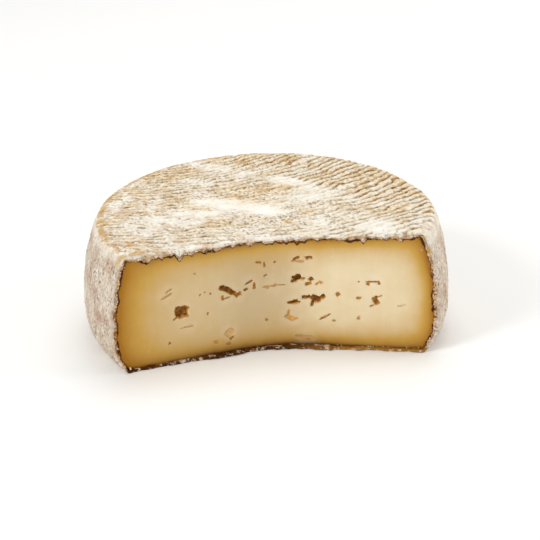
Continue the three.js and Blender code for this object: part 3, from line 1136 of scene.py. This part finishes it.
def crumbs_sheet(material):
    """Scatters crumbs of torn rind along a closed line."""
    inputs = {"Places": "Object", "Count": "Int", "Size": "Float", "Spread": "Float", "Seed": "Int"}
    sheet, _, given = geometry_sheet("Crumbs", inputs)
    line = sheet.node("GeometryNodeMeshToCurve", [sheet.object(given["Places"])])
    spaced = {"Curve": line, "Count": given["Count"]}
    points = sheet.node("GeometryNodeCurveToPoints", spaced, mode="COUNT")

    def chance(low, high, order):
        settings = {"Min": low, "Max": high, "Seed": given["Seed"] + float(order)}
        return sheet.node("FunctionNodeRandomValue", settings, data_type="FLOAT_VECTOR")

    stray = sheet.scaled(chance((-1.0, -0.3, -1.0), (1.0, 0.3, 1.0), 1), given["Spread"])
    points = sheet.moved(points, stray)
    widths = chance((0.2, 0.1, 0.12), (1.0, 0.45, 0.5), 2)
    position = sheet.node("GeometryNodeInputPosition")
    larger_below = sheet.larger(position.split()[2].step(30 * MM, 8 * MM), 0.62)
    clustered = sheet.noise(position, 9 * MM, 2.0).step(0.44, 0.6)
    size = sheet.scaled(widths, larger_below * given["Size"] * (clustered * 0.85 + 0.15))
    turn = chance((-3.0, -3.0, -3.0), (3.0, 3.0, 3.0), 3)
    finish_tree(sheet, ragged_lumps(sheet, points, 1, size, turn, given["Size"] * 0.8), material)
    return sheet


def cut_outline(shape, inset, forward):
    """A helper mesh with a closed line round the cut, moved in from its edge."""
    _, along, height = add_skin(Shell(), shape, 0, 0, 2, HIDDEN_SPACING)
    along, height = shape.inside_face(along, height, inset)
    count = len(along)
    points = shape.swollen(shape.on_face(along, height, forward))
    return new_mesh("cut_outline", points, edges=[(i, (i + 1) % count) for i in range(count)])


def opening_gap(shape, points):
    """How far the points lie from the nearest wide opening."""
    along, height, width, tallness = np.array([row[:4] for row in LUMPS if row[2] > HIGHLIGHT_WIDTH]).T * MM
    centres = shape.swollen(shape.on_face(along, height, 0))
    nearest = np.full(len(points), 1.0)
    for centre, reach in zip(centres, (width + tallness) / 4):
        nearest = np.minimum(nearest, distance(points - centre) - reach)
    return nearest


def mark_gaps(mesh, shape):
    """Keeps on each point how deep it lies under the side, the top and the underside, and behind the cut."""
    points = np.empty(len(mesh.vertices) * 3, np.float32)
    mesh.vertices.foreach_get("co", points)
    points = points.reshape(-1, 3).astype(float)
    plan = points[:, :2]
    radius = distance(plan)
    height = points[:, 2] / shape.stretch(plan)
    gaps = {
        "side_gap": shape.side_radius(height) - radius,
        "top_gap": shape.top_height(radius) - height,
        "base_gap": height,
        "behind_cut": shape.behind_cut(plan),
        "opening_gap": opening_gap(shape, points),
    }
    for name, gap in gaps.items():
        mark_points(mesh, name, gap / MM)


class CHEESE_OT_rind(bpy.types.Operator):
    """Builds the rind with its cloth print and its torn edge along the cut"""

    bl_idname = "cheese.rind"
    bl_label = "Rind"

    def execute(self, context):
        scene = context.scene
        shape = WheelShape(scene.cheese_sizes)
        piece = add_piece("rind", rind_shell(shape).to_mesh("rind", shape, ("top_share", "torn")))
        material = rind_material(scene.cheese_colours, scene.rind_relief)
        run_tree(piece, *relief_sheet(scene.rind_relief, material))
        return keep_piece(piece)


class CHEESE_OT_paste(bpy.types.Operator):
    """Builds the paste with the openings in its cut face"""

    bl_idname = "cheese.paste"
    bl_label = "Paste"

    def execute(self, context):
        scene = context.scene
        shape = WheelShape(scene.cheese_sizes)
        piece = add_piece("paste", paste_shell(shape).to_mesh("paste", shape, ()))
        places = add_piece("opening_places", opening_places(shape))
        sheet = openings_sheet(paste_material(scene.cheese_colours))
        run_tree(piece, sheet, {"Places": places, "Raggedness": RAGGEDNESS})
        bpy.data.objects.remove(places)
        keep_largest_body(piece.data)
        mark_gaps(piece.data, shape)
        return keep_piece(piece)


class CHEESE_OT_crumbs(bpy.types.Operator):
    """Scatters crumbs of torn rind along the cut's edge"""

    bl_idname = "cheese.crumbs"
    bl_label = "Crumbs"

    def execute(self, context):
        scene = context.scene
        crumbs = scene.cheese_crumbs
        outline = cut_outline(WheelShape(scene.cheese_sizes), crumbs.inset, crumbs.stand_off)
        places = add_piece("cut_outline", outline)
        piece = add_piece("crumbs", bpy.data.meshes.new("crumbs"))
        values = {name.title(): getattr(crumbs, name) for name in ("count", "size", "spread", "seed")}
        sheet = crumbs_sheet(crumb_material(scene.cheese_colours))
        run_tree(piece, sheet, {"Places": places, **values})
        bpy.data.objects.remove(places)
        return keep_piece(piece)


FLOOR_REACH = 3.0
FLOOR_PAINT = (0.95, 0.95, 0.94, 1)
STUDIO_TINT = (1.0, 0.99, 0.97, 1)
STUDIO_STRENGTH = 0.56

# The camera looks down by its elevation and leans by its roll. Its place is given along its own axes.
ELEVATION = math.radians(24.87)
ROLL = math.radians(1.25)
CAMERA_PLACE = (1.39 * MM, 28.1 * MM, 0.955)

# Soft lights: name, place, width in metres, power in watts
LIGHTS = [
    ("key", (-0.95, -0.65, 0.85), 0.5, 8.5),
    ("top", (0.15, 0.5, 1.2), 0.9, 5.4),
    ("fill", (1.1, 0.15, 0.4), 0.7, 5.0),
]
LIT_POINT = Vector((0, 0, 0.04))


class CHEESE_OT_stage(bpy.types.Operator):
    """Sets the floor, the lights and the camera"""

    bl_idname = "cheese.stage"
    bl_label = "Stage"

    def execute(self, context):
        scene = context.scene
        corners = np.array([(-1, -1, 0), (1, -1, 0), (1, 1, 0), (-1, 1, 0)]) * FLOOR_REACH
        floor = add_piece("floor", new_mesh("floor", corners, faces=[(0, 1, 2, 3)]))
        material, sheet, shader, _ = new_material("pale_floor")
        sheet.fill(shader, {"Base Color": FLOOR_PAINT, "Roughness": 0.9})
        floor.data.materials.append(material)

        world = bpy.data.worlds.new("studio")
        scene.world = world
        world.use_nodes = True
        background = world.node_tree.nodes["Background"]
        background.inputs["Color"].default_value = STUDIO_TINT
        background.inputs["Strength"].default_value = STUDIO_STRENGTH
        for name, place, size, power in LIGHTS:
            light = bpy.data.lights.new(name, "AREA")
            light.size = size
            light.energy = power
            turn = (Vector(place) - LIT_POINT).to_track_quat("Z", "Y").to_matrix().to_4x4()
            add_piece(name, light).matrix_world = Matrix.Translation(place) @ turn

        camera = bpy.data.cameras.new("camera")
        camera.sensor_width = 36.0
        camera.lens = 120.0
        holder = add_piece("camera", camera)
        turn = Matrix.Rotation(math.pi / 2 - ELEVATION, 4, "X") @ Matrix.Rotation(-ROLL, 4, "Z")
        holder.matrix_world = turn @ Matrix.Translation(CAMERA_PLACE)
        scene.camera = holder
        scene.view_settings.view_transform = "Standard"
        return {"FINISHED"}


class CHEESE_PT_panel(bpy.types.Panel):
    """Lists the operators and their sizes"""

    bl_idname = "CHEESE_PT_panel"
    bl_label = "Cut Cheese Wheel"
    bl_space_type = "VIEW_3D"
    bl_region_type = "UI"
    bl_category = "Cheese"

    def draw(self, context):
        layout = self.layout
        for operator in OPERATORS:
            layout.operator(operator.bl_idname)
        for name in GROUPS:
            box = layout.box()
            group = getattr(context.scene, name)
            for prop in type(group).__annotations__:
                box.prop(group, prop)


OPERATORS = (CHEESE_OT_rind, CHEESE_OT_paste, CHEESE_OT_crumbs, CHEESE_OT_stage)
GROUPS = {
    "cheese_sizes": CheeseSizes,
    "rind_relief": RindRelief,
    "cheese_crumbs": CheeseCrumbs,
    "cheese_colours": CheeseColours,
}


def register():
    for made in (*GROUPS.values(), *OPERATORS, CHEESE_PT_panel):
        bpy.utils.register_class(made)
    for name, group in GROUPS.items():
        setattr(bpy.types.Scene, name, bpy.props.PointerProperty(type=group))


def unregister():
    for name in GROUPS:
        delattr(bpy.types.Scene, name)
    for made in (CHEESE_PT_panel, *OPERATORS, *GROUPS.values()):
        bpy.utils.unregister_class(made)


def main():
    register()
    bpy.ops.cheese.rind()
    bpy.ops.cheese.paste()
    bpy.ops.cheese.crumbs()
    bpy.ops.cheese.stage()


if __name__ == "__main__":
    main()
